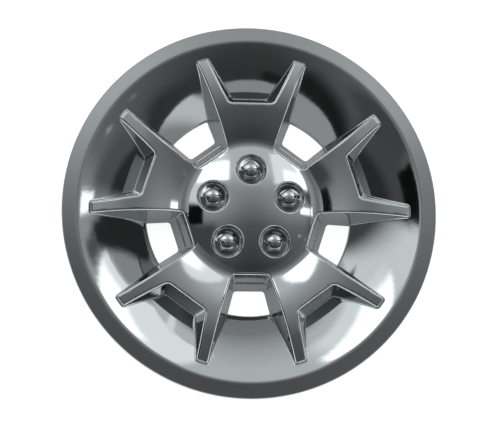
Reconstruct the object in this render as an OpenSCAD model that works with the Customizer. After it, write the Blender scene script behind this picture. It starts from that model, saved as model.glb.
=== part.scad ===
// Chrome wheel cover with five forked spokes, for a 15 inch wheel.
// It lies on its back: Z runs along the wheel's axle, the shown face is up.
// One thin moulding, with a sprung steel ring in the clips of its back.

/* [Cover] */
// Outside diameter of the cover
cover_d = 412; // [404:1:420]
// Thickness of the moulded wall
wall = 3; // [2.4:0.2:3.4]
// Width of the flat lip round the edge
lip_w = 16.5; // [12:0.5:20]
// Height of the lip's inner crest over the back plane
crest_z = 38; // [36:0.2:40]
// Fall of the lip from its crest to the outer edge
lip_drop = 3.5; // [2:0.1:5]
// Depth of the skirt under the outer edge
skirt_h = 5.5; // [4.5:0.1:8]

/* [Dish] */
// Radius of the dish's inner edge, at the windows
dish_in_r = 115.5; // [110:0.5:118]
// Height of the dish's inner edge over the back plane
dish_in_z = 4; // [3.6:0.1:6]
// Radius of the dish's rounded section
dish_arc_r = 214; // [180:1:300]

/* [Hub and spoke face] */
// Height of the hub's middle over the back plane
dome_z = 38.5; // [36:0.2:39]
// Radius of the hub's dome
dome_r = 250; // [230:1:270]
// Radius of the hollow between hub and spokes
valley_r = 24; // [18:0.5:30]
// Radius of the spokes' arched section
spoke_arc_r = 190; // [180:1:210]
// Distance from the axle at which the spokes are highest
spoke_top_at = 139.5; // [137:0.5:142]
// Greatest height of the spokes over the back plane
spoke_z = 38.6; // [38:0.2:40]
// Number of forked spokes
spokes = 5; // [5:1:5]
// Radius of the tine ends
tip_r = 175; // [172:0.5:177]
// Draft of the tine ends, in degrees
tip_draft = 20; // [15:1:25]

/* [Windows between the spokes] */
// Distance of the hub side wall from the axle, at the back
window_back = 87.3; // [86:0.1:92]
// Draft of the hub side wall, in degrees
window_hub_draft = 27.7; // [24:0.1:29]
// Width of the ledge halfway up the hub side wall
ledge_w = 1.2; // [0.8:0.1:2]
// Height of that ledge over the back plane
ledge_z = 13.5; // [11:0.5:17]
// Distance from the axle at which the two side walls would meet, at the back
window_apex = 22.8; // [20:0.1:26]
// Half of the angle between the side walls
window_half = 14.6; // [13.5:0.1:15]
// Draft of the side walls, in degrees
window_draft = 14.6; // [12:0.1:16]

/* [Notches in the forks] */
// Distance of the hub side wall from the axle, at the back
notch_back = 134.1; // [132:0.1:138]
// Draft of the hub side wall, in degrees
notch_hub_draft = 22; // [18:0.5:25]
// Distance from the axle at which the two side walls would meet, at the back
notch_apex = 100; // [98:0.1:104]
// Half of the angle between the side walls
notch_half = 26.5; // [25:0.1:27.5]
// Draft of the side walls, in degrees
notch_draft = 20; // [17:0.5:21]

/* [Dummy wheel nuts] */
// Radius of the circle on which the nuts stand
nut_at = 44.3; // [43:0.1:46]
// Diameter of the round pocket of each nut
pocket_d = 34; // [31:0.5:36]
// Height of the pocket floor over the back plane
pocket_z = 25; // [22:0.1:27]
// Diameter of the sloping flange round the foot of each nut
flange_d = 28; // [27:0.5:30]
// Rise of that flange from its edge to the nut
flange_h = 1.8; // [1.4:0.1:2.4]
// Distance of each of the nut's five sides from its middle, at its top
nut_side = 7.9; // [7.4:0.1:8.4]
// Draft of those sides, in degrees
nut_draft = 8; // [4:0.5:10]
// Height of the nut's top over the pocket floor
nut_h = 8; // [7:0.5:10]
// Radius of the nut's rounded top
nut_top_r = 19; // [17:0.5:24]

/* [Ribs on the back] */
// Thickness of the ribs
rib_t = 2; // [1.6:0.1:2.4]
// Depth of the ribs under the wall
rib_h = 8; // [5:0.5:10]
// Radius of the ring rib round the hub
hub_rib_r = 66; // [65:0.5:68]

/* [Clip legs] */
// Width of each leg, as an angle
leg_angle = 8; // [6:0.5:10]
// Thickness of each leg
leg_t = 2.6; // [2:0.1:3]
// Height of the legs' free end over the back plane
leg_z = 4; // [2:0.5:6]
// Height of the hook under the ring
hook_h = 3.4; // [2.4:0.2:4]
// Reach of the hook and of the shoulder past the leg
hook_reach = 2.6; // [2:0.1:3.2]
// Length of the radial gusset behind each leg
gusset_l = 13; // [8:0.5:16]

/* [Steel ring] */
// Radius of the ring, at the middle of the wire
ring_r = 175.5; // [174:0.1:177]
// Diameter of the wire
wire_d = 3.2; // [2.8:0.1:3.6]
// Gap between the wire and each leg
wire_gap = 0.2; // [0.1:0.05:0.3]
// Angle of the gap in the ring, which leaves room for the tyre valve
ring_gap = 9; // [6:0.5:12]

/* [Hidden] */
$fn = 96;

edge_r = cover_d / 2;
crest_r = edge_r - lip_w;
edge_z = crest_z - lip_drop;
lip_slope = atan(lip_drop / lip_w);
far = 300;                      // reach of the half spaces that shape the walls
pitch = 360 / spokes;
spoke_0 = 90;                   // angle of the spoke that points along +Y

// Centre of the arc of radius r through two points, on the side of the wheel's back
function arc_centre(a, b, r) =
    let (d = b - a, c = norm(d), u = d / c)
    (a + b) / 2 + sqrt(r * r - c * c / 4) * [u.y, -u.x];

// The point at distance ra from a and rb from b that lies above the line from a to b
function above(a, ra, b, rb) =
    let (d = b - a, c = norm(d), u = d / c, x = (ra * ra - rb * rb + c * c) / (2 * c))
    a + x * u + sqrt(ra * ra - x * x) * [-u.y, u.x];

dish_c = arc_centre([dish_in_r, dish_in_z], [crest_r, crest_z], dish_arc_r);
dome_c = [0, dome_z - dome_r];
spoke_c = [spoke_top_at, spoke_z - spoke_arc_r];
valley_c = above(dome_c, dome_r + valley_r, spoke_c, spoke_arc_r + valley_r);
tip_z = spoke_c.y + sqrt(pow(spoke_arc_r, 2) - pow(tip_r - spoke_top_at, 2));
wire_z = leg_z + hook_h + wire_d / 2 + wire_gap;
leg_out_r = ring_r - wire_d / 2 - wire_gap;
leg_in_r = leg_out_r - leg_t;

// Section of the hub and spokes: everything under their face, less the depth g
module face_section(g) {
    difference() {
        intersection() {
            union() {
                translate(dome_c) circle(r = dome_r - g, $fn = 360);
                translate(spoke_c) circle(r = spoke_arc_r - g, $fn = 360);
                polygon([dome_c, valley_c, spoke_c]);
            }
            polygon([[0, -g], [tip_foot(g), -g], [tip_foot(g) - 60 * tan(tip_draft), 60], [0, 60]]);
        }
        translate(valley_c) circle(r = valley_r + g);
    }
}

// Radius of the drafted end of a tine, at the level z = 0
function tip_foot(g) = tip_r + tip_z * tan(tip_draft) - g / cos(tip_draft);

// Section of the dish and lip: everything under their face, less the depth g
module dish_section(g) {
    intersection() {
        translate(dish_c) circle(r = dish_arc_r - g, $fn = 360);
        translate([dish_in_r + g, -g]) square([edge_r - dish_in_r - 2 * g, 60]);
        translate([edge_r, edge_z - g / cos(lip_slope)]) rotate(-lip_slope)
            translate([-far, -far]) square([far * 2, far]);
    }
}

// Space on the far side of a wall that crosses the radius and leans to the axle
module beyond(distance, draft, g) {
    translate([distance - g / cos(draft), 0, 0]) rotate([0, -draft, 0])
        translate([0, -far, -far]) cube(2 * far);
}

// Space between two side walls that open outwards from an apex
module between(apex, half, draft, g) {
    intersection() {
        for_side(apex, half, draft, g);
        mirror([0, 1, 0]) for_side(apex, half, draft, g);
    }
}

module for_side(apex, half, draft, g) {
    translate([apex, 0, 0]) rotate(half)
        translate([0, g / cos(draft), 0]) rotate([-draft, 0, 0])
            translate([-far, -2 * far, -far]) cube(2 * far);
}

module window_space(g) {
    intersection() {
        between(window_apex, window_half, window_draft, g);
        union() {
            beyond(window_back, window_hub_draft, g);
            intersection() {
                beyond(window_back - ledge_w, window_hub_draft, g);
                translate([0, -far, ledge_z - g]) cube(2 * far);
            }
        }
    }
}

module notch_space(g) {
    intersection() {
        between(notch_apex, notch_half, notch_draft, g);
        beyond(notch_back, notch_hub_draft, g);
    }
}

module at_spokes() {
    for (i = [0 : spokes - 1]) rotate(spoke_0 + i * pitch) children();
}

module at_windows() {
    rotate(pitch / 2) at_spokes() children();
}

module pocket_space(g) {
    translate([nut_at, 0, pocket_z - g]) cylinder(d = pocket_d + 2 * g, h = far);
}

// A five-sided nut with a sloping flange and a rounded top, as deep as the cover
module nut_body(g) {
    top = pocket_z + nut_h;
    inner_r = nut_side + 0.6;
    lean = (flange_d / 2 - inner_r) / flange_h;
    translate([0, 0, -g]) cylinder(d = flange_d - 2 * g, h = pocket_z - 0.5);
    translate([0, 0, pocket_z - 1 - g])
        cylinder(r1 = flange_d / 2 + lean - g, r2 = inner_r - g, h = flange_h + 1);
    intersection() {
        nut_side_space(top, g);
        translate([0, 0, top - nut_top_r]) sphere(r = nut_top_r - g);
        translate([-flange_d, -flange_d, -g]) cube([2 * flange_d, 2 * flange_d, 2 * top]);
    }
}

// Everything inside the five sides, which meet in one corner that points away from the hub
module nut_side_space(top, g) {
    intersection_for(i = [0 : 4])
        rotate(36 + 72 * i) translate([nut_side - g, 0, top]) rotate([0, -nut_draft, 0])
            translate([-2 * far, -far, -far]) cube(2 * far);
}

module nuts(g) {
    at_spokes() translate([nut_at, 0, 0]) nut_body(g);
}

// Everything behind the cover's face, less the depth g on every side
module behind_face(g) {
    difference() {
        rotate_extrude() face_section(g);
        at_windows() window_space(g);
        at_spokes() notch_space(g);
        at_spokes() pocket_space(g);
    }
    rotate_extrude() dish_section(g);
    nuts(g);
}

module ribs() {
    difference() {
        intersection() {
            union() {
                at_spokes() translate([hub_rib_r, -rib_t / 2, 0])
                    cube([notch_back - hub_rib_r, rib_t, far]);
                difference() {
                    cylinder(r = hub_rib_r + rib_t / 2, h = far);
                    translate([0, 0, -1]) cylinder(r = hub_rib_r - rib_t / 2, h = far);
                }
            }
            rotate_extrude() face_section(wall / 2);
        }
        rotate_extrude() face_section(wall + rib_h);
        at_windows() window_space(wall / 2);
        at_spokes() notch_space(wall / 2);
    }
}

// One leg with its hook, shoulder and gusset, on the X axis
module leg() {
    hook_r = leg_out_r + hook_reach;
    top_z = wire_z + wire_d / 2 + wire_gap;
    rotate(-leg_angle / 2) rotate_extrude(angle = leg_angle)
        polygon([[leg_in_r, leg_z], [leg_out_r, leg_z], [hook_r, leg_z + hook_h - 1],
            [hook_r, leg_z + hook_h], [leg_out_r, leg_z + hook_h], [leg_out_r, top_z],
            [leg_out_r + hook_reach, top_z], [leg_out_r + hook_reach, top_z + 1],
            [leg_out_r, top_z + 1 + hook_reach], [leg_out_r, 60], [leg_in_r, 60]]);
    rotate([90, 0, 0]) translate([0, 0, -rib_t / 2]) linear_extrude(rib_t)
        polygon([[leg_in_r + leg_t / 2, leg_z + hook_h], [leg_in_r, leg_z + hook_h],
            [leg_in_r - gusset_l, crest_z / 2], [leg_in_r - gusset_l, 60], [leg_in_r + leg_t / 2, 60]]);
}

module legs() {
    intersection() {
        for (i = [0 : 2 * spokes - 1]) rotate(spoke_0 + i * pitch / 2) leg();
        rotate_extrude() dish_section(wall / 2);
    }
}

module cover() {
    color("lightgray") {
        difference() {
            behind_face(0);
            behind_face(wall);
            difference() {
                translate([0, 0, -1]) cylinder(r = far, h = 1 + edge_z - skirt_h);
                translate([0, 0, -2]) cylinder(r = edge_r - 2 * wall, h = far);
            }
        }
        ribs();
        legs();
    }
}

// Open ring of wire, with its gap halfway between two legs
module steel_ring() {
    color("dimgray")
        translate([0, 0, wire_z]) rotate(spoke_0 + (pitch / 2 + ring_gap) / 2)
            rotate_extrude(angle = 360 - ring_gap) translate([ring_r, 0]) circle(d = wire_d, $fn = 32);
}

cover();
steel_ring();
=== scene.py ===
"""Looks for the chrome wheel cover: plating, retaining wire, studio and camera.

The cover's face is rebuilt here with rounded edges, from the solid's sizes apart from a flatter dish. Its
back is the solid's own. The studio is modelled after what the plating reflects in the photograph.
"""
import bpy
import bmesh
import numpy as np
from math import radians, sin, cos
from mathutils import Matrix, Vector
from mathutils.geometry import delaunay_2d_cdt


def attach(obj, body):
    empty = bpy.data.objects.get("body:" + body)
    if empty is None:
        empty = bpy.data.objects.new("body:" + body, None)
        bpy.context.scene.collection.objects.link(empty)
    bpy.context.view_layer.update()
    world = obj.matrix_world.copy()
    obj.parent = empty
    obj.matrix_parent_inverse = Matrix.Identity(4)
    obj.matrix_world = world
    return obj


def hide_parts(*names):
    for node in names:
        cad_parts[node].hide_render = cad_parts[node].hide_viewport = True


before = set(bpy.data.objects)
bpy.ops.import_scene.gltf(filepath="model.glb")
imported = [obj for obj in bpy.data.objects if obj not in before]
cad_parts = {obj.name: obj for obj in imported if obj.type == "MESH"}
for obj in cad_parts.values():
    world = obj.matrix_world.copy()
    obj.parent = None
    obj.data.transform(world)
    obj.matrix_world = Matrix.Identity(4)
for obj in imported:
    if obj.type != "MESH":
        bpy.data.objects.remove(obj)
bpy.context.scene.view_settings.view_transform = "Standard"
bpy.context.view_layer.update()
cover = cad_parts["cover"]
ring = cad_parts["steel_ring"]


# Node helpers

class Graph:
    """Short names for building a node tree."""

    def __init__(self, tree):
        self.tree = tree
        tree.nodes.clear()

    def node(self, kind, **values):
        n = self.tree.nodes.new(kind)
        for key, value in values.items():
            setattr(n, key, value)
        return n

    def link(self, source, target):
        self.tree.links.new(source, target)

    def feed(self, socket, value):
        """Sets a socket to a number, or links another socket to it."""
        if isinstance(value, (int, float)):
            socket.default_value = value
        else:
            self.link(value, socket)

    def math(self, op, a, b=None, clamp=False):
        n = self.node("ShaderNodeMath", operation=op, use_clamp=clamp)
        self.feed(n.inputs[0], a)
        if b is not None:
            self.feed(n.inputs[1], b)
        return n.outputs[0]

    def step(self, value, edge, soft):
        """0 below the edge, 1 above it, with a smooth blend soft wide."""
        n = self.node("ShaderNodeMapRange", clamp=True, interpolation_type="SMOOTHSTEP")
        self.link(value, n.inputs["Value"])
        n.inputs["From Min"].default_value = edge - soft / 2
        n.inputs["From Max"].default_value = edge + soft / 2
        return n.outputs["Result"]

    def mix(self, fac, a, b):
        """a where fac is 0, b where it is 1; a, b are numbers or sockets."""
        n = self.node("ShaderNodeMix", data_type="FLOAT")
        for index, value in ((0, fac), (2, a), (3, b)):
            self.feed(n.inputs[index], value)
        return n.outputs[0]

    def noise(self, vector, scale, detail=None):
        n = self.node("ShaderNodeTexNoise")
        n.inputs["Scale"].default_value = scale
        if detail is not None:
            n.inputs["Detail"].default_value = detail
        self.link(vector, n.inputs["Vector"])
        return n.outputs["Fac"]

    def blend(self, fac, a, b):
        """A colour between a and b, both plain RGB."""
        n = self.node("ShaderNodeMix", data_type="RGBA")
        n.inputs["A"].default_value = a + (1,)
        n.inputs["B"].default_value = b + (1,)
        self.link(fac, n.inputs[0])
        return n.outputs["Result"]


def material(name):
    """A new material, its graph and its texture coordinates."""
    mat = bpy.data.materials.new(name)
    mat.use_nodes = True
    g = Graph(mat.node_tree)
    return mat, g, g.node("ShaderNodeTexCoord").outputs["Object"]


# The studio
#
# It is a level ceiling above the cover. Places on it are (u, v), ceiling heights to the right of the
# cover's middle and behind it. A brightness is the 0 to 255 level at which the plating shows it. Each panel
# was placed where reflections in the photograph point, with about the level that they show.

PLATING_SHARE = 0.52        # of the light that the plating throws back
RIGHT, BACK, LEFT, FRONT = 0, 90, 180, -90      # degrees on the ceiling
FAR = 9                     # past all of the ceiling that matters
LOWEST = 0.03               # directions nearer the horizon than this reach the ceiling's end
CEILING_END = 3.0

# the bare ceiling from front to back, where its brightness bends: (v, brightness)
CEILING = [
    (-3.00, 80), (-0.87, 80),           # beyond the front wall
    (-0.85, 130), (-0.70, 130),         # the front wall
    (-0.68, 45), (-0.40, 50),           # the darkest part
    (0.00, 75), (0.35, 125),            # brighter towards the back
    (0.60, 170), (0.90, 170),           # the brightest part
    (1.70, 115), (3.00, 100),           # and darker again far back
]
# its sides are brighter than its middle: (direction, distance, softness, share added)
SIDE_LIFT = [(LEFT, 0.11, 0.42, 0.85), (RIGHT, 0.31, 0.42, 0.60)]
# but only between these: (direction, distance, softness)
LIFT_RANGE = [(FRONT, -0.30, 0.30), (BACK, -0.45, 0.16)]

# even bands around the room, over all else: (height of the direction, softness, brightness)
WALL_BAND = (0.26, 0.10, 215)
LIGHT_BAND = (0.17, 0.08, 290)
BELOW_HORIZON = (-0.02, 0.08, 205)


def box(u0, u1, v0, v1, soft):
    """The edges of a rectangle on the ceiling."""
    return [(RIGHT, u0, soft), (LEFT, -u1, soft), (BACK, v0, soft), (FRONT, -v1, soft)]


# Panels hung on the ceiling: brightness, then the edges that they lie beyond, each given as
# (direction in degrees, distance from the middle, softness). A later one covers an earlier one.
PANELS = [
    # front: dark flags, and pale walls below them
    (24, [(LEFT, 0.13, 0.08), (BACK, -0.71, 0.02), (FRONT, 0.40, 0.20)]),
    (27, box(-0.20, 0.04, -0.68, -0.57, 0.05)),
    (45, [(RIGHT, 0.55, 0.20), (BACK, -0.80, 0.02), (FRONT, 0.36, 0.16)]),
    (133, [(-102.4, 0.689, 0.03), (LEFT, 0.17, 0.04)]),
    (178, [(-77.7, 0.741, 0.03), (RIGHT, 0.545, 0.08)]),
    (122, [(-77.7, 0.741, 0.03), (RIGHT, 0.94, 0.36)]),
    # back: pale panels with brighter soft boxes in them
    (195, box(-2.6, -0.345, 0.24, 1.05, 0.07)),
    (172, box(-0.68, -0.16, 0.50, 1.22, 0.22)),
    (206, box(-0.68, -0.16, 0.50, 0.99, 0.16)),
    (172, box(0.45, 1.15, 1.00, 1.28, 0.20)),
    (216, box(0.35, 0.92, 0.46, 1.05, 0.05)),
    (206, [(-40, -0.19, 0.03), (140, 0.125, 0.03), (BACK, 1.0, 0.05), (FRONT, -1.38, 0.06)]),
    # back: darker corners
    (60, [(225, 0.29, 0.38), (LEFT, 0.50, 0.20), (BACK, 0.22, 0.05)]),
    (48, [(135, 1.275, 0.05), (LEFT, 0.33, 0.10), (RIGHT, -0.98, 0.10)]),
    (72, [(135, 1.42, 0.10), (LEFT, 0.33, 0.10), (RIGHT, -0.98, 0.10)]),
    (127, box(0.95, FAR, 0.35, 1.08, 0.12)),
    (24, [(49.5, 1.655, 0.05), (RIGHT, 0.64, 0.10)]),
    (90, [(49.5, 1.70, 0.05), (RIGHT, 1.09, 0.05)]),
    (34, [(-63.4, -0.015, 0.08), (RIGHT, 0.77, 0.14), (BACK, 0.28, 0.08), (FRONT, -1.20, 0.2)]),
    (34, [(-46, 0.38, 0.16), (RIGHT, 0.90, 0.14), (BACK, 0.25, 0.03), (FRONT, -1.20, 0.2)]),
    # left of the middle: dark walls and a black flag
    (60, box(-0.60, -0.25, -0.30, 0.02, 0.12)),
    (62, box(-FAR, -0.47, -0.34, 0.243, 0.10)),
    (38, box(-FAR, -0.70, -0.34, 0.20, 0.16)),
    (85, box(-FAR, -0.97, -0.30, 0.10, 0.05)),
    (10, box(-0.545, -0.385, 0.02, 0.225, 0.03)),
    # right of the middle: dark walls, a bright wall far out, small lamps and a flag
    (73, box(0.76, FAR, -0.34, 0.145, 0.16)),
    (38, box(1.03, FAR, -0.34, 0.145, 0.14)),
    (225, box(1.34, 1.90, -0.26, 0.14, 0.05)),
    (150, box(0.615, 0.65, -0.10, -0.07, 0.03)),
    (110, box(0.505, 0.54, -0.215, -0.185, 0.03)),
    (268, box(0.645, 0.80, 0.155, 0.235, 0.03)),
    (72, box(0.655, 0.81, 0.33, 0.43, 0.06)),
    # the two soft boxes
    (268, [(RIGHT, -0.52, 0.12), (LEFT, 0.125, 0.04), (BACK, 0.485, 0.04), (FRONT, -0.76, 0.08)]),
    (268, [(RIGHT, 0.48, 0.05), (LEFT, -0.80, 0.12), (BACK, 0.475, 0.05), (FRONT, -0.68, 0.08)]),
]


def level(shown):
    """Strength of a light that the plating shows at this 0 to 255 level, by the sRGB curve."""
    s = shown / 255
    linear = s / 12.92 if s < 0.04 else ((s + 0.055) / 1.055) ** 2.4
    return linear / PLATING_SHARE


def ceiling_ramp(g, v):
    """Strength of the bare ceiling at v."""
    at = g.node("ShaderNodeMapRange", clamp=True)
    g.link(v, at.inputs["Value"])
    at.inputs["From Min"].default_value = -CEILING_END
    at.inputs["From Max"].default_value = CEILING_END
    ramp = g.node("ShaderNodeValToRGB")
    g.link(at.outputs["Result"], ramp.inputs[0])
    elements = ramp.color_ramp.elements
    while len(elements) > 1:
        elements.remove(elements[-1])
    for i, (place, shown) in enumerate(CEILING):
        position = (place + CEILING_END) / (2 * CEILING_END)
        e = elements[0] if i == 0 else elements.new(position)
        e.position = position
        e.color = (level(shown),) * 3 + (1,)
    split = g.node("ShaderNodeSeparateColor")
    g.link(ramp.outputs[0], split.inputs[0])
    return split.outputs[0]


def make_world():
    """Lights the scene with the studio, and shows plain white to the camera."""
    world = bpy.data.worlds.new("studio")
    world.use_nodes = True
    bpy.context.scene.world = world
    g = Graph(world.node_tree)
    coords = g.node("ShaderNodeTexCoord")
    split = g.node("ShaderNodeSeparateXYZ")
    g.link(coords.outputs["Generated"], split.inputs[0])
    right, back, up = split.outputs
    high = g.math("MAXIMUM", up, LOWEST)
    u = g.math("DIVIDE", right, high)
    v = g.math("DIVIDE", back, high)
    light = ceiling_ramp(g, v)

    def beyond(angle, distance, soft):
        """1 on the ceiling past a straight edge, 0 before it."""
        a = radians(angle)
        along = g.math("ADD", g.math("MULTIPLY", u, cos(a)), g.math("MULTIPLY", v, sin(a)))
        return g.step(along, distance, soft)

    within = g.math("MULTIPLY", beyond(*LIFT_RANGE[0]), beyond(*LIFT_RANGE[1]))
    lift = g.math("ADD", *(g.math("MULTIPLY", beyond(*edge), share) for *edge, share in SIDE_LIFT))
    light = g.math("MULTIPLY", light, g.math("ADD", g.math("MULTIPLY", lift, within), 1))

    for shown, edges in PANELS:
        mask = beyond(*edges[0])
        for edge in edges[1:]:
            mask = g.math("MULTIPLY", mask, beyond(*edge))
        light = g.mix(mask, light, level(shown))

    for edge, soft, shown in (WALL_BAND, LIGHT_BAND, BELOW_HORIZON):
        light = g.mix(g.step(up, edge, soft), level(shown), light)

    path = g.node("ShaderNodeLightPath")
    seen = g.node("ShaderNodeBackground")
    seen.inputs["Color"].default_value = (1, 1, 1, 1)
    seen.inputs["Strength"].default_value = 1
    lit = g.node("ShaderNodeBackground")
    colour = g.node("ShaderNodeCombineColor")
    for socket in colour.inputs[:3]:
        g.link(light, socket)
    g.link(colour.outputs[0], lit.inputs["Color"])
    lit.inputs["Strength"].default_value = 1
    pick = g.node("ShaderNodeMixShader")
    g.link(path.outputs["Is Camera Ray"], pick.inputs[0])
    g.link(lit.outputs[0], pick.inputs[1])
    g.link(seen.outputs[0], pick.inputs[2])
    out = g.node("ShaderNodeOutputWorld")
    g.link(pick.outputs[0], out.inputs[0])


# The floor and the camera

FLOOR_HALF = 3.0            # metres
FLOOR_Z = -0.0002           # just under the cover
FLOOR_GREY, FLOOR_GLOW = 0.62, 0.85
PAINTED_SHADOW_R, PAINTED_SHADOW_SOFT = 0.19, 0.06      # painted shadow: under the cover, reflections see less of the glow
GLOW_IN_PAINTED_SHADOW = 0.2                    # this share of it


def make_floor():
    """A pale floor that glows white to the camera, and keeps the cover's real shadow in its diffuse light.
    In reflections its glow is dimmed under the cover, a painted shadow. From below it is
    clear, so that the cover's underside can be looked at."""
    mesh = bpy.data.meshes.new("floor")
    s = FLOOR_HALF
    mesh.from_pydata([(-s, -s, 0), (s, -s, 0), (s, s, 0), (-s, s, 0)], [], [(0, 1, 2, 3)])
    floor = bpy.data.objects.new("floor", mesh)
    bpy.context.scene.collection.objects.link(floor)
    floor.location.z = FLOOR_Z
    mat, g, place = material("pale_floor")
    path = g.node("ShaderNodeLightPath")
    away = g.node("ShaderNodeVectorMath", operation="LENGTH")
    g.link(place, away.inputs[0])
    # painted shadow: under the cover, reflections see only part of the floor's glow
    share = g.mix(g.step(away.outputs["Value"], PAINTED_SHADOW_R, PAINTED_SHADOW_SOFT), GLOW_IN_PAINTED_SHADOW, 1.0)
    mirrored = g.math("ADD", path.outputs["Is Glossy Ray"], path.outputs["Is Transmission Ray"],
                      clamp=True)
    seen = g.math("ADD", path.outputs["Is Camera Ray"], g.math("MULTIPLY", mirrored, share),
                  clamp=True)
    diffuse = g.node("ShaderNodeBsdfDiffuse")
    diffuse.inputs["Color"].default_value = (FLOOR_GREY,) * 3 + (1,)
    glow = g.node("ShaderNodeEmission")
    glow.inputs["Color"].default_value = (FLOOR_GLOW,) * 3 + (1,)
    g.link(seen, glow.inputs["Strength"])
    top = g.node("ShaderNodeAddShader")
    g.link(diffuse.outputs[0], top.inputs[0])
    g.link(glow.outputs[0], top.inputs[1])
    side = g.node("ShaderNodeNewGeometry")
    below = g.node("ShaderNodeBsdfTransparent")
    facing = g.node("ShaderNodeMixShader")
    g.link(side.outputs["Backfacing"], facing.inputs[0])
    g.link(top.outputs[0], facing.inputs[1])
    g.link(below.outputs[0], facing.inputs[2])
    out = g.node("ShaderNodeOutputMaterial")
    g.link(facing.outputs[0], out.inputs[0])
    mesh.materials.append(mat)


# the photograph's view: nearly from above
VIEW_TILT, VIEW_HEADING, VIEW_TURN = radians(11.17), radians(60.3), radians(0.38)
VIEW_AWAY, VIEW_Z = 1.367, 0.0361       # metres from the point looked at, and that point's height
VIEW_LENS, VIEW_SENSOR = 90, 36         # millimetres
VIEW_SHIFT = (-1.66 / 500, -3.9 / 500)  # of the picture's width


def make_camera():
    axis = Vector((-sin(VIEW_HEADING), cos(VIEW_HEADING), 0))
    tilt = Matrix.Rotation(VIEW_TILT, 3, axis).transposed()
    rot = Matrix.Rotation(VIEW_TURN, 3, "Z") @ tilt
    data = bpy.data.cameras.new("camera")
    data.lens = VIEW_LENS
    data.sensor_width = VIEW_SENSOR
    data.shift_x, data.shift_y = VIEW_SHIFT
    data.clip_end = 50
    camera = bpy.data.objects.new("camera", data)
    at = Matrix.Translation(rot @ Vector((0, 0, VIEW_AWAY)) + Vector((0, 0, VIEW_Z)))
    camera.matrix_world = at @ rot.to_4x4()
    bpy.context.scene.collection.objects.link(camera)
    bpy.context.scene.camera = camera


# The moulded front, in detail
#
# Sizes are in millimetres and are the solid's, but for the dish, whose arc is flatter. The front is a
# height field: every wall has draft, so each point of the plan has one height. Edges are rounded, as on
# a plated moulding.

# bowl: the lip, its skirt and the dish inside of it
EDGE_R, EDGE_Z = 206.0, 34.5            # the lip's outer edge
CREST_R, CREST_Z = 189.5, 38.0          # its highest line, where the dish begins
LIP_SLOPE = np.arctan((CREST_Z - EDGE_Z) / (EDGE_R - CREST_R))
SKIRT_Z = 29.0
DISH_R, DISH_Z = 115.5, 4.0             # the dish's inner end
DISH_END = (0.98, 0.17)                 # the way that this end faces, inwards and up
DISH_ARC = 300.0

# the face of hub and spokes, along a radius: a dome, a valley, a spoke's arch and its flatter end
DOME_TOP, DOME_R = 38.5, 250.0
DOME_C = (0.0, DOME_TOP - DOME_R)
SPOKE_AT, SPOKE_TOP, SPOKE_R = 139.5, 38.6, 190.0
SPOKE_C = (SPOKE_AT, SPOKE_TOP - SPOKE_R)
VALLEY_C, VALLEY_R = (73.98, 52.32), 24.0
END_AT, END_R = 148.0, 420.0
END_LEAN = np.arcsin((END_AT - SPOKE_C[0]) / SPOKE_R)
END_C = (END_AT - END_R * np.sin(END_LEAN), SPOKE_C[1] + (SPOKE_R - END_R) * np.cos(END_LEAN))
TIP_R, TIP_DRAFT = 175, 20
TIP_Z = END_C[1] + np.sqrt(END_R ** 2 - (TIP_R - END_C[0]) ** 2)

# windows between the spokes and notches in them: a wedge from an apex, half as wide as given in
# degrees, with draft on its walls, and an end wall
SPOKES = 5
PITCH = 72                              # degrees from spoke to spoke
WINDOW_APEX, WINDOW_HALF, WINDOW_DRAFT = 22.8, 14.6, 14.6
WINDOW_END, WINDOW_END_DRAFT = 87.3, 27.7
LEDGE_END, LEDGE_Z = 86.1, 13.5         # the ledge halfway up the window's end wall
NOTCH_APEX, NOTCH_HALF, NOTCH_DRAFT = 100, 26.5, 20
NOTCH_END, NOTCH_END_DRAFT = 134.1, 22

# the nuts, each in a round pocket
NUT_AT, NUT_TOP, NUT_BALL = 44.3, 33.0, 19.0
NUT_SIDE, NUT_DRAFT = 7.9, 8
NUT_SIDES = (-36, 36, 108, 180)         # the ways that its flats face, on one half
NUT_REACH = 20                          # past this far from a nut the front is plain
POCKET_R, POCKET_TOP, POCKET_TAPER, POCKET_Z = 17, 34.5, 0.08, 25
FLANGE_R, FLANGE_CUT = 14, 27
FLANGE_LEAN = np.arctan(1.8 / 5.5)      # its rise over its width

# rounding radii
LIP_ROUND, DISH_END_ROUND = 1.2, 0.6
WALL_ROUND = 2.5                        # between the walls of a window or a notch
ARM_ROUND, POCKET_RIM_ROUND, POCKET_FOOT_ROUND = 2.2, 1.5, 1.0
NUT_ROUND, SMALL_ROUND = 0.8, 0.5
BOWL_FILLET = 1.0                       # where the spokes meet the dish

LOW_Z, HIGH_Z, HALVINGS = -8.0, 42.0, 17        # the search for the front's height
DEEP = -2                               # a part wholly below this height needs no fine mesh


def circle_through(a, b, r):
    """Centre of the circle of radius r through a and b, on their right-hand side."""
    a, b = np.array(a), np.array(b)
    half = np.hypot(*(b - a)) / 2
    along = (b - a) / (2 * half)
    return (a + b) / 2 + np.sqrt(r * r - half * half) * np.array([along[1], -along[0]])


DISH_C = circle_through((DISH_R, DISH_Z), (CREST_R, CREST_Z), DISH_ARC)


def both(r, *sides):
    """Inside every side, with the edge between them rounded to radius r."""
    out = sides[0]
    total = 0
    for side in sides:
        out = np.maximum(out, side)
        total = total + np.maximum(side + r, 0) ** 2
    return np.where(out > -r, np.sqrt(total) - r, out)


def either(r, *sides):
    """Inside any side, with the inner corner between them filled to radius r."""
    return -both(r, *[-side for side in sides])


def wedge(x, y, z, apex, half, draft):
    """The two side walls of a window or notch: positive beyond each wall."""
    h, d = radians(half), radians(draft)
    a = -(x - apex) * sin(h)
    return (a + y * cos(h)) * cos(d) - z * sin(d), (a - y * cos(h)) * cos(d) - z * sin(d)


def end_wall(x, z, back, draft):
    d = radians(draft)
    return (back - x) * cos(d) - z * sin(d)


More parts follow.
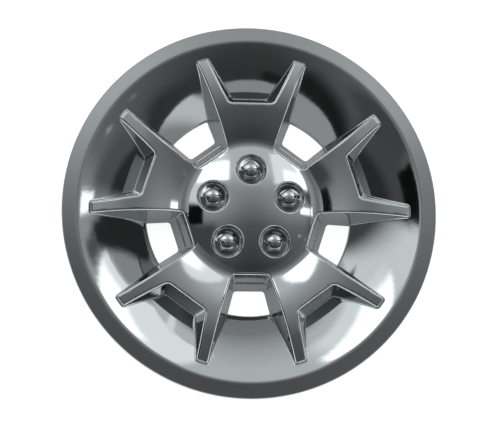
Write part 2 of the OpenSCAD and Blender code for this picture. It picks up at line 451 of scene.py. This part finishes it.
def spoke_frame(x, y):
    """Radius, and the place along and beside the nearest spoke's middle line."""
    r = np.hypot(x, y)
    turn = np.degrees(np.arctan2(y, x)) - 90
    k = np.round(turn / PITCH)
    a = np.radians(turn - PITCH * k)
    return r, r * np.cos(a), np.abs(r * np.sin(a))


def face_of(r, z):
    """The face of hub and spokes: negative below it."""
    to_dome = np.hypot(r - DOME_C[0], z - DOME_C[1]) - DOME_R
    to_spoke = np.hypot(r - SPOKE_C[0], z - SPOKE_C[1]) - SPOKE_R
    to_end = np.hypot(r - END_C[0], z - END_C[1]) - END_R
    to_spoke = np.where(r > END_AT, to_end, to_spoke)
    to_valley = VALLEY_R - np.hypot(r - VALLEY_C[0], z - VALLEY_C[1])

    def side_of(c):
        return ((c[0] - VALLEY_C[0]) * (z - VALLEY_C[1])
                - (c[1] - VALLEY_C[1]) * (r - VALLEY_C[0]))
    return np.where(side_of(DOME_C) < 0, to_dome,
                    np.where(side_of(SPOKE_C) > 0, to_spoke, to_valley))


def nut_of(u, v, z, away):
    """A nut on its flange, around its own middle."""
    d = radians(NUT_DRAFT)
    sides = [(u * cos(radians(q)) + v * sin(radians(q)) - NUT_SIDE) * cos(d)
             + (z - NUT_TOP) * sin(d) for q in NUT_SIDES]
    ball = np.sqrt(u * u + v * v + (z - NUT_TOP + NUT_BALL) ** 2) - NUT_BALL
    body = both(NUT_ROUND, *sides, ball)
    flange = (z - POCKET_Z) * cos(FLANGE_LEAN) + (away - FLANGE_R) * sin(FLANGE_LEAN)
    return either(SMALL_ROUND, body, both(SMALL_ROUND, flange, z - FLANGE_CUT))


def front(x, y, z):
    """Signed distance, roughly, from the rounded front: negative inside."""
    r, xs, ys = spoke_frame(x, y)
    t = radians(TIP_DRAFT)
    tip = (r - TIP_R - TIP_Z * np.tan(t)) * cos(t) + z * sin(t)
    c, s = cos(radians(PITCH / 2)), sin(radians(PITCH / 2))
    xw, yw = xs * c + ys * s, -xs * s + ys * c
    w1, w2 = wedge(xw, yw, z, WINDOW_APEX, WINDOW_HALF, WINDOW_DRAFT)
    ledge = both(SMALL_ROUND, end_wall(xw, z, LEDGE_END, WINDOW_END_DRAFT), LEDGE_Z - z)
    hub_wall = either(SMALL_ROUND, end_wall(xw, z, WINDOW_END, WINDOW_END_DRAFT), ledge)
    window = both(WALL_ROUND, w1, w2, hub_wall)
    n1, n2 = wedge(xs, ys, z, NOTCH_APEX, NOTCH_HALF, NOTCH_DRAFT)
    notch = both(WALL_ROUND, n1, n2, end_wall(xs, z, NOTCH_END, NOTCH_END_DRAFT))
    arms = both(ARM_ROUND, face_of(r, z), tip, -window, -notch)
    from_nut = np.hypot(xs - NUT_AT, ys)
    pocket = both(POCKET_FOOT_ROUND, from_nut - POCKET_R + (POCKET_TOP - z) * POCKET_TAPER,
                  POCKET_Z - z)
    arms = both(POCKET_RIM_ROUND, arms, -pocket)
    lip = (z - EDGE_Z) * np.cos(LIP_SLOPE) + (r - EDGE_R) * np.sin(LIP_SLOPE)
    bowl = both(LIP_ROUND, np.hypot(r - DISH_C[0], z - DISH_C[1]) - DISH_ARC, lip, r - EDGE_R)
    bowl = both(DISH_END_ROUND, bowl, (DISH_R - r) * DISH_END[0] + (z - DISH_Z) * DISH_END[1])
    out = either(BOWL_FILLET, arms, bowl)
    near = from_nut < NUT_REACH
    if np.any(near):
        nut = nut_of(xs[near] - NUT_AT, ys[near], z[near], from_nut[near])
        out[near] = either(SMALL_ROUND, out[near], nut)
    return out


def height(x, y):
    """Height of the front above the floor, by halving."""
    low, high = np.full(x.shape, LOW_Z), np.full(x.shape, HIGH_Z)
    for _ in range(HALVINGS):
        mid = (low + high) / 2
        inside = front(x, y, mid) < 0
        low, high = np.where(inside, mid, low), np.where(inside, high, mid)
    return (low + high) / 2


def front_normals(p, e=0.04):
    """Normals of the front at points, from differences over e either way."""
    x, y, z = p[:, 0], p[:, 1], p[:, 2]
    n = np.stack([front(x + e, y, z) - front(x - e, y, z),
                  front(x, y + e, z) - front(x, y - e, z),
                  front(x, y, z + e) - front(x, y, z - e)], 1)
    return n / np.maximum(np.linalg.norm(n, axis=1, keepdims=True), 1e-9)


# The front's mesh
#
# Half a spoke's sector is meshed, mirrored and repeated. Around each nut is a patch of rings.

# ring bands: from and to radius, rows and columns of the finest grid
BANDS = [(4.0, 24.0, 32, 16), (24.0, 52.0, 48, 64), (52.0, 100.0, 80, 128),
         (100.0, EDGE_R - LIP_ROUND, 160, 224)]
BLOCK = 8                               # cells along the coarsest square
BEND = 13.0                             # a square that bends by more degrees is split
PATCH_R, PATCH_CLEAR, PATCH_STEP = 18.6, 0.35, 4.5
PATCH_INSIDE = 18.4                     # triangles whose middle is nearer than this are left out
AXIS_GAP = 18                           # the middle line's edges stop this far from the nut
# radii of the patch's rings outside the nut, and on it with their share of five-sidedness
OUTER_RINGS = [18.6, 18.2, 17.85, 17.5, 17.25, 17.0, 16.8, 16.55, 16.3, 16.1, 15.85, 15.55, 15.2,
               14.8, 14.5, 14.2, 14.05, 13.9, 13.75, 13.4, 12.9, 12.3, 11.8]
NUT_RINGS = [(9.6, 0.85), (9.3, 0.95), (9.05, 1), (8.85, 1), (8.6, 1), (8.35, 1), (8.15, 1),
             (7.95, 1), (7.75, 1), (7.5, 1), (7.2, 1), (6.8, 1), (6.2, 0.9), (5.4, 0.7),
             (4.4, 0.5), (3.3, 0.3), (2.1, 0.1), (1.0, 0)]
CORNER_CAP = 1.215                      # the rings' corners are cut to this share of their radius


def plan(r, turn):
    """Plan point at radius r, turn degrees from the spoke at the top of the picture."""
    a = np.radians(90 + np.asarray(turn))
    return r * np.cos(a), r * np.sin(a)


def band_points(r0, r1, rows, columns):
    """Points of a ring band in half a spoke's sector, close together where the front bends."""
    radii = np.linspace(r0, r1, rows + 1)
    turns = np.linspace(0, PITCH / 2, columns + 1)
    rr, tt = np.meshgrid(radii, turns, indexing="ij")
    x, y = plan(rr.ravel(), tt.ravel())
    z = height(x, y)
    n = front_normals(np.stack([x, y, z], 1)).reshape(rows + 1, columns + 1, 3)
    z = z.reshape(rows + 1, columns + 1)
    keep = np.zeros((rows + 1, columns + 1), bool)
    limit = np.cos(radians(BEND))

    def split(i, j, size):
        for a in (i, i + size):
            for b in (j, j + size):
                keep[a, b] = True
        if size == 1 or z[i:i + size + 1, j:j + size + 1].max() < DEEP:
            return
        flat = n[i:i + size + 1, j:j + size + 1].reshape(-1, 3)
        if (flat @ flat[0]).min() < limit or (flat @ flat[-1]).min() < limit:
            h = size // 2
            for a in (i, i + h):
                for b in (j, j + h):
                    split(a, b, h)

    for i in range(0, rows, BLOCK):
        for j in range(0, columns, BLOCK):
            split(i, j, BLOCK)
    at = np.nonzero(keep.ravel())[0]
    return rr.ravel()[at], tt.ravel()[at]


def sector_points():
    """Radius and turn of every plan point of half a spoke's sector, around the nut's patch."""
    found = [band_points(*band) for band in BANDS]
    r = np.concatenate([f[0] for f in found] + [[0.0]])
    t = np.concatenate([f[1] for f in found] + [[0.0]])
    xs, ys = r * np.cos(np.radians(t)), r * np.sin(np.radians(t))
    clear = np.hypot(xs - NUT_AT, ys) > PATCH_R + PATCH_CLEAR
    rim = np.radians(np.arange(0, 180.1, PATCH_STEP))
    px, py = NUT_AT + PATCH_R * np.cos(rim), PATCH_R * np.sin(rim)
    r = np.concatenate([r[clear], np.hypot(px, py)])
    t = np.concatenate([t[clear], np.degrees(np.arctan2(py, px))])
    t[np.abs(t) < 1e-9] = 0
    key = np.unique(np.round(np.stack([r, t], 1), 5), axis=0)
    return key[:, 0], key[:, 1]


def half_sector():
    """Plan points, heights and triangles of the front from a spoke's middle line to a window's."""
    r, t = sector_points()
    xs, ys = r * np.cos(np.radians(t)), r * np.sin(np.radians(t))
    ys[t == 0] = 0
    edges = []

    def chain(index, order):
        index = index[np.argsort(order[index])].tolist()
        edges.extend(zip(index[:-1], index[1:]))
    chain(np.nonzero((t == 0) & (r < NUT_AT - AXIS_GAP))[0], r)
    chain(np.nonzero((t == 0) & (r > NUT_AT + AXIS_GAP))[0], r)
    chain(np.nonzero((t == PITCH / 2) | (r == 0))[0], r)
    chain(np.nonzero(np.abs(r - (EDGE_R - LIP_ROUND)) < 1e-4)[0], t)
    chain(np.nonzero(np.abs(np.hypot(xs - NUT_AT, ys) - PATCH_R) < 1e-3)[0],
          np.arctan2(ys, xs - NUT_AT))
    got = delaunay_2d_cdt([Vector((a, b)) for a, b in zip(xs, ys)], edges, [], 1, 1e-6)
    flat = np.array([v[:] for v in got[0]])
    faces = np.array([f for f in got[2] if len(f) == 3])
    a, b, c = (flat[faces[:, i]] for i in range(3))
    area = ((b[:, 0] - a[:, 0]) * (c[:, 1] - a[:, 1])
            - (b[:, 1] - a[:, 1]) * (c[:, 0] - a[:, 0]))
    faces = faces[np.abs(area) > 1e-6]
    area = area[np.abs(area) > 1e-6]
    faces[area < 0] = faces[area < 0][:, ::-1]
    mid = flat[faces].mean(1)
    faces = faces[np.hypot(mid[:, 0] - NUT_AT, mid[:, 1]) > PATCH_INSIDE]
    x, y = -flat[:, 1], flat[:, 0]
    return np.stack([x, y, height(x, y)], 1), faces


def turned(p, degrees):
    c, s = cos(radians(degrees)), sin(radians(degrees))
    return np.stack([p[:, 0] * c - p[:, 1] * s, p[:, 0] * s + p[:, 1] * c, p[:, 2]], 1)


def pocket_patch():
    """The top nut, its pocket and the pocket's rim: rings that turn from a circle to a pentagon."""
    phi = np.arange(0, 360, PATCH_STEP)
    pentagon = np.minimum(1 / np.cos(np.radians(phi % PITCH - PITCH / 2)), CORNER_CAP)
    rho = np.array([np.full(phi.shape, ring) for ring in OUTER_RINGS]
                   + [ring * (1 + share * (pentagon - 1)) for ring, share in NUT_RINGS])
    at = np.radians(90 + phi)
    x = np.append((rho * np.cos(at)).ravel(), 0.0)
    y = np.append(NUT_AT + (rho * np.sin(at)).ravel(), NUT_AT)
    m, faces = len(phi), []
    for i in range(len(rho) - 1):
        for j in range(m):
            a, b = i * m + j, i * m + (j + 1) % m
            faces += [(a, b, a + m), (b, b + m, a + m)]
    last = (len(rho) - 1) * m
    faces += [(last + j, last + (j + 1) % m, len(x) - 1) for j in range(m)]
    return np.stack([x, y, height(x, y)], 1), np.array(faces)


def rim_strip(p):
    """The rounded outer edge of the lip and the skirt under it, on the half sector's outer points."""
    inner = EDGE_R - LIP_ROUND
    zc = EDGE_Z + (-LIP_ROUND + LIP_ROUND * np.sin(LIP_SLOPE)) / np.cos(LIP_SLOPE)
    lean = np.linspace(np.pi / 2 - LIP_SLOPE, 0, 7)
    r = np.concatenate([[inner], inner + LIP_ROUND * np.cos(lean), [EDGE_R]])
    start = height(*plan(r[:1], 0.0))
    z = np.concatenate([start, zc + LIP_ROUND * np.sin(lean), [SKIRT_Z]])
    outer = np.abs(np.hypot(p[:, 0], p[:, 1]) - inner) < 1e-3
    step = np.unique(np.round(np.degrees(np.arctan2(-p[outer, 0], p[outer, 1])), 4))
    turns = [np.concatenate([step, -step]) + PITCH * k for k in range(SPOKES)]
    turns = np.unique(np.round(np.concatenate(turns) % 360, 3) % 360)
    x, y = plan(r[:, None], turns[None, :])
    m, faces = len(turns), []
    for i in range(len(r) - 1):
        for j in range(m):
            a, b = i * m + j, i * m + (j + 1) % m
            faces += [(a, a + m, b), (b, a + m, b + m)]
    return np.stack([x.ravel(), y.ravel(), np.repeat(z, m)], 1), np.array(faces)


def make_front():
    """One mesh of the front: ten half sectors, five nuts and the outer edge."""
    p, f = half_sector()
    nut, nut_faces = pocket_patch()
    pieces = []
    for k in range(SPOKES):
        pieces.append((turned(p, PITCH * k), f))
        pieces.append((turned(p * (-1, 1, 1), PITCH * k), f[:, ::-1]))
        pieces.append((turned(nut, PITCH * k), nut_faces))
    pieces.append(rim_strip(p))
    faces, count = [], 0
    for points, tris in pieces:
        faces.append(tris + count)
        count += len(points)
    return np.concatenate([points for points, tris in pieces]), np.concatenate(faces)


# The finishes

CHROME_TONE, CHROME_ROUGH = (0.50, 0.535, 0.545), 0.035
BACK_TONE, BACK_ROUGH = (0.44, 0.47, 0.48), 0.16
HAZE_SCALE, HAZE_RANGE, HAZE_SHARE = 22, (0.35, 0.7), 2.2      # clouds of up to 2.2 times the roughness
SATIN_R, SATIN_SOFT = 0.1905, 0.0015    # the lip outside this radius, in metres, is satin
SATIN_ROUGH, SATIN_SHARE = 0.36, 0.65   # and throws back this share of what the rest does
PEEL_SCALE, PEEL_STRENGTH, PEEL_DEPTH = 130, 0.05, 0.0004
WIRE_TONES, WIRE_GRAIN, WIRE_ROUGH = ((0.36, 0.36, 0.37), (0.48, 0.48, 0.49)), 900, 0.38


def metal(g):
    """A metal shader, linked to the material's output."""
    shader = g.node("ShaderNodeBsdfPrincipled")
    shader.inputs["Metallic"].default_value = 1
    out = g.node("ShaderNodeOutputMaterial")
    g.link(shader.outputs[0], out.inputs[0])
    return shader


def make_chrome(name, rough, base):
    """Plating with faint clouds and orange peel, and a satin band on the lip."""
    mat, g, place = material(name)
    shader = metal(g)
    haze = g.node("ShaderNodeMapRange")
    g.link(g.noise(place, HAZE_SCALE, 4), haze.inputs["Value"])
    haze.inputs["From Min"].default_value, haze.inputs["From Max"].default_value = HAZE_RANGE
    haze.inputs["To Min"].default_value = rough
    haze.inputs["To Max"].default_value = rough * HAZE_SHARE
    split = g.node("ShaderNodeSeparateXYZ")
    g.link(place, split.inputs[0])
    squares = [g.math("POWER", split.outputs[i], 2) for i in (0, 1)]
    satin = g.step(g.math("SQRT", g.math("ADD", *squares)), SATIN_R, SATIN_SOFT)
    g.link(g.mix(satin, haze.outputs["Result"], SATIN_ROUGH), shader.inputs["Roughness"])
    tone = g.blend(satin, base, tuple(SATIN_SHARE * c for c in base))
    g.link(tone, shader.inputs["Base Color"])
    bump = g.node("ShaderNodeBump")
    bump.inputs["Strength"].default_value = PEEL_STRENGTH
    bump.inputs["Distance"].default_value = PEEL_DEPTH
    g.link(g.noise(place, PEEL_SCALE, 2), bump.inputs["Height"])
    g.link(bump.outputs[0], shader.inputs["Normal"])
    return mat


def make_steel():
    """Drawn wire with a fine grain."""
    mat, g, place = material("drawn_steel_wire")
    shader = metal(g)
    tone = g.blend(g.noise(place, WIRE_GRAIN), *WIRE_TONES)
    g.link(tone, shader.inputs["Base Color"])
    shader.inputs["Roughness"].default_value = WIRE_ROUGH
    return mat


def dress(node, mat):
    node.data.materials.clear()
    node.data.materials.append(mat)


# The cover as seen

WELD = 3e-6                 # metres
BEHIND = -1.15              # solid faces deeper than this behind the seen front are kept, mm
FACING_DOWN = -0.5          # and so are those whose normal's height is below this
NEEDLE, SCRAP = 2e-3, 0.2   # mm2: smaller faces are left out anywhere, or where they lie near the front


def points_of(mesh):
    """The mesh's points, in millimetres."""
    p = np.empty(len(mesh.vertices) * 3)
    mesh.vertices.foreach_get("co", p)
    return p.reshape(-1, 3) * 1000


def triangles_of(mesh):
    f = np.empty(len(mesh.polygons) * 3, int)
    mesh.polygons.foreach_get("vertices", f)
    return f.reshape(-1, 3)


def front_mesh():
    """The front welded into one mesh and cut off at the floor."""
    points, tris = make_front()
    mesh = bpy.data.meshes.new("front")
    mesh.from_pydata((points / 1000).tolist(), [], tris.tolist())
    bm = bmesh.new()
    bm.from_mesh(mesh)
    bmesh.ops.remove_doubles(bm, verts=bm.verts, dist=WELD)
    bmesh.ops.bisect_plane(bm, geom=bm.verts[:] + bm.edges[:] + bm.faces[:], dist=1e-7,
                           plane_co=(0, 0, 0), plane_no=(0, 0, 1), clear_inner=True)
    bmesh.ops.triangulate(bm, faces=bm.faces)
    bm.to_mesh(mesh)
    bm.free()
    return mesh


def hidden_faces(solid):
    """The solid's points, and the triangles and corner normals of its back and underside."""
    q, g = points_of(solid), triangles_of(solid)
    corner = np.empty(len(g) * 9)
    solid.corner_normals.foreach_get("vector", corner)
    corner = corner.reshape(-1, 3, 3)
    mid = q[g].mean(1)
    face_n = np.cross(q[g[:, 1]] - q[g[:, 0]], q[g[:, 2]] - q[g[:, 0]])
    area = np.linalg.norm(face_n, axis=1) / 2
    face_n /= np.maximum(2 * area[:, None], 1e-12)
    depth = front(mid[:, 0], mid[:, 1], mid[:, 2])
    sliver = (area < NEEDLE) | ((area < SCRAP) & (depth > BEHIND))
    hidden = ((depth < BEHIND) | (face_n[:, 2] < FACING_DOWN)) & ~sliver
    return q, g[hidden], corner[hidden]


def make_skin():
    """The cover as seen: the detailed front, closed behind by the solid's own hidden faces."""
    mesh = front_mesh()
    p, f = points_of(mesh), triangles_of(mesh)
    n = front_normals(p)
    q, g, corner = hidden_faces(cover.data)
    out = bpy.data.meshes.new("plated_cover")
    out.from_pydata((np.concatenate([p, q]) / 1000).tolist(), [],
                    np.concatenate([f, g + len(p)]).tolist())
    out.polygons.foreach_set("use_smooth", [True] * len(out.polygons))
    out.polygons.foreach_set("material_index", [0] * len(f) + [1] * len(g))
    normals = np.concatenate([n[f].reshape(-1, 3), corner.reshape(-1, 3)])
    out.normals_split_custom_set(normals.tolist())
    skin = bpy.data.objects.new("plated_cover", out)
    bpy.context.scene.collection.objects.link(skin)
    out.materials.append(make_chrome("chrome_plating", CHROME_ROUGH, CHROME_TONE))
    out.materials.append(make_chrome("back_plating", BACK_ROUGH, BACK_TONE))
    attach(skin, "root")
    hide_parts("cover")
    print("skin triangles", len(f), "front,", len(g), "behind")


make_world()
make_floor()
make_camera()
make_skin()
dress(ring, make_steel())
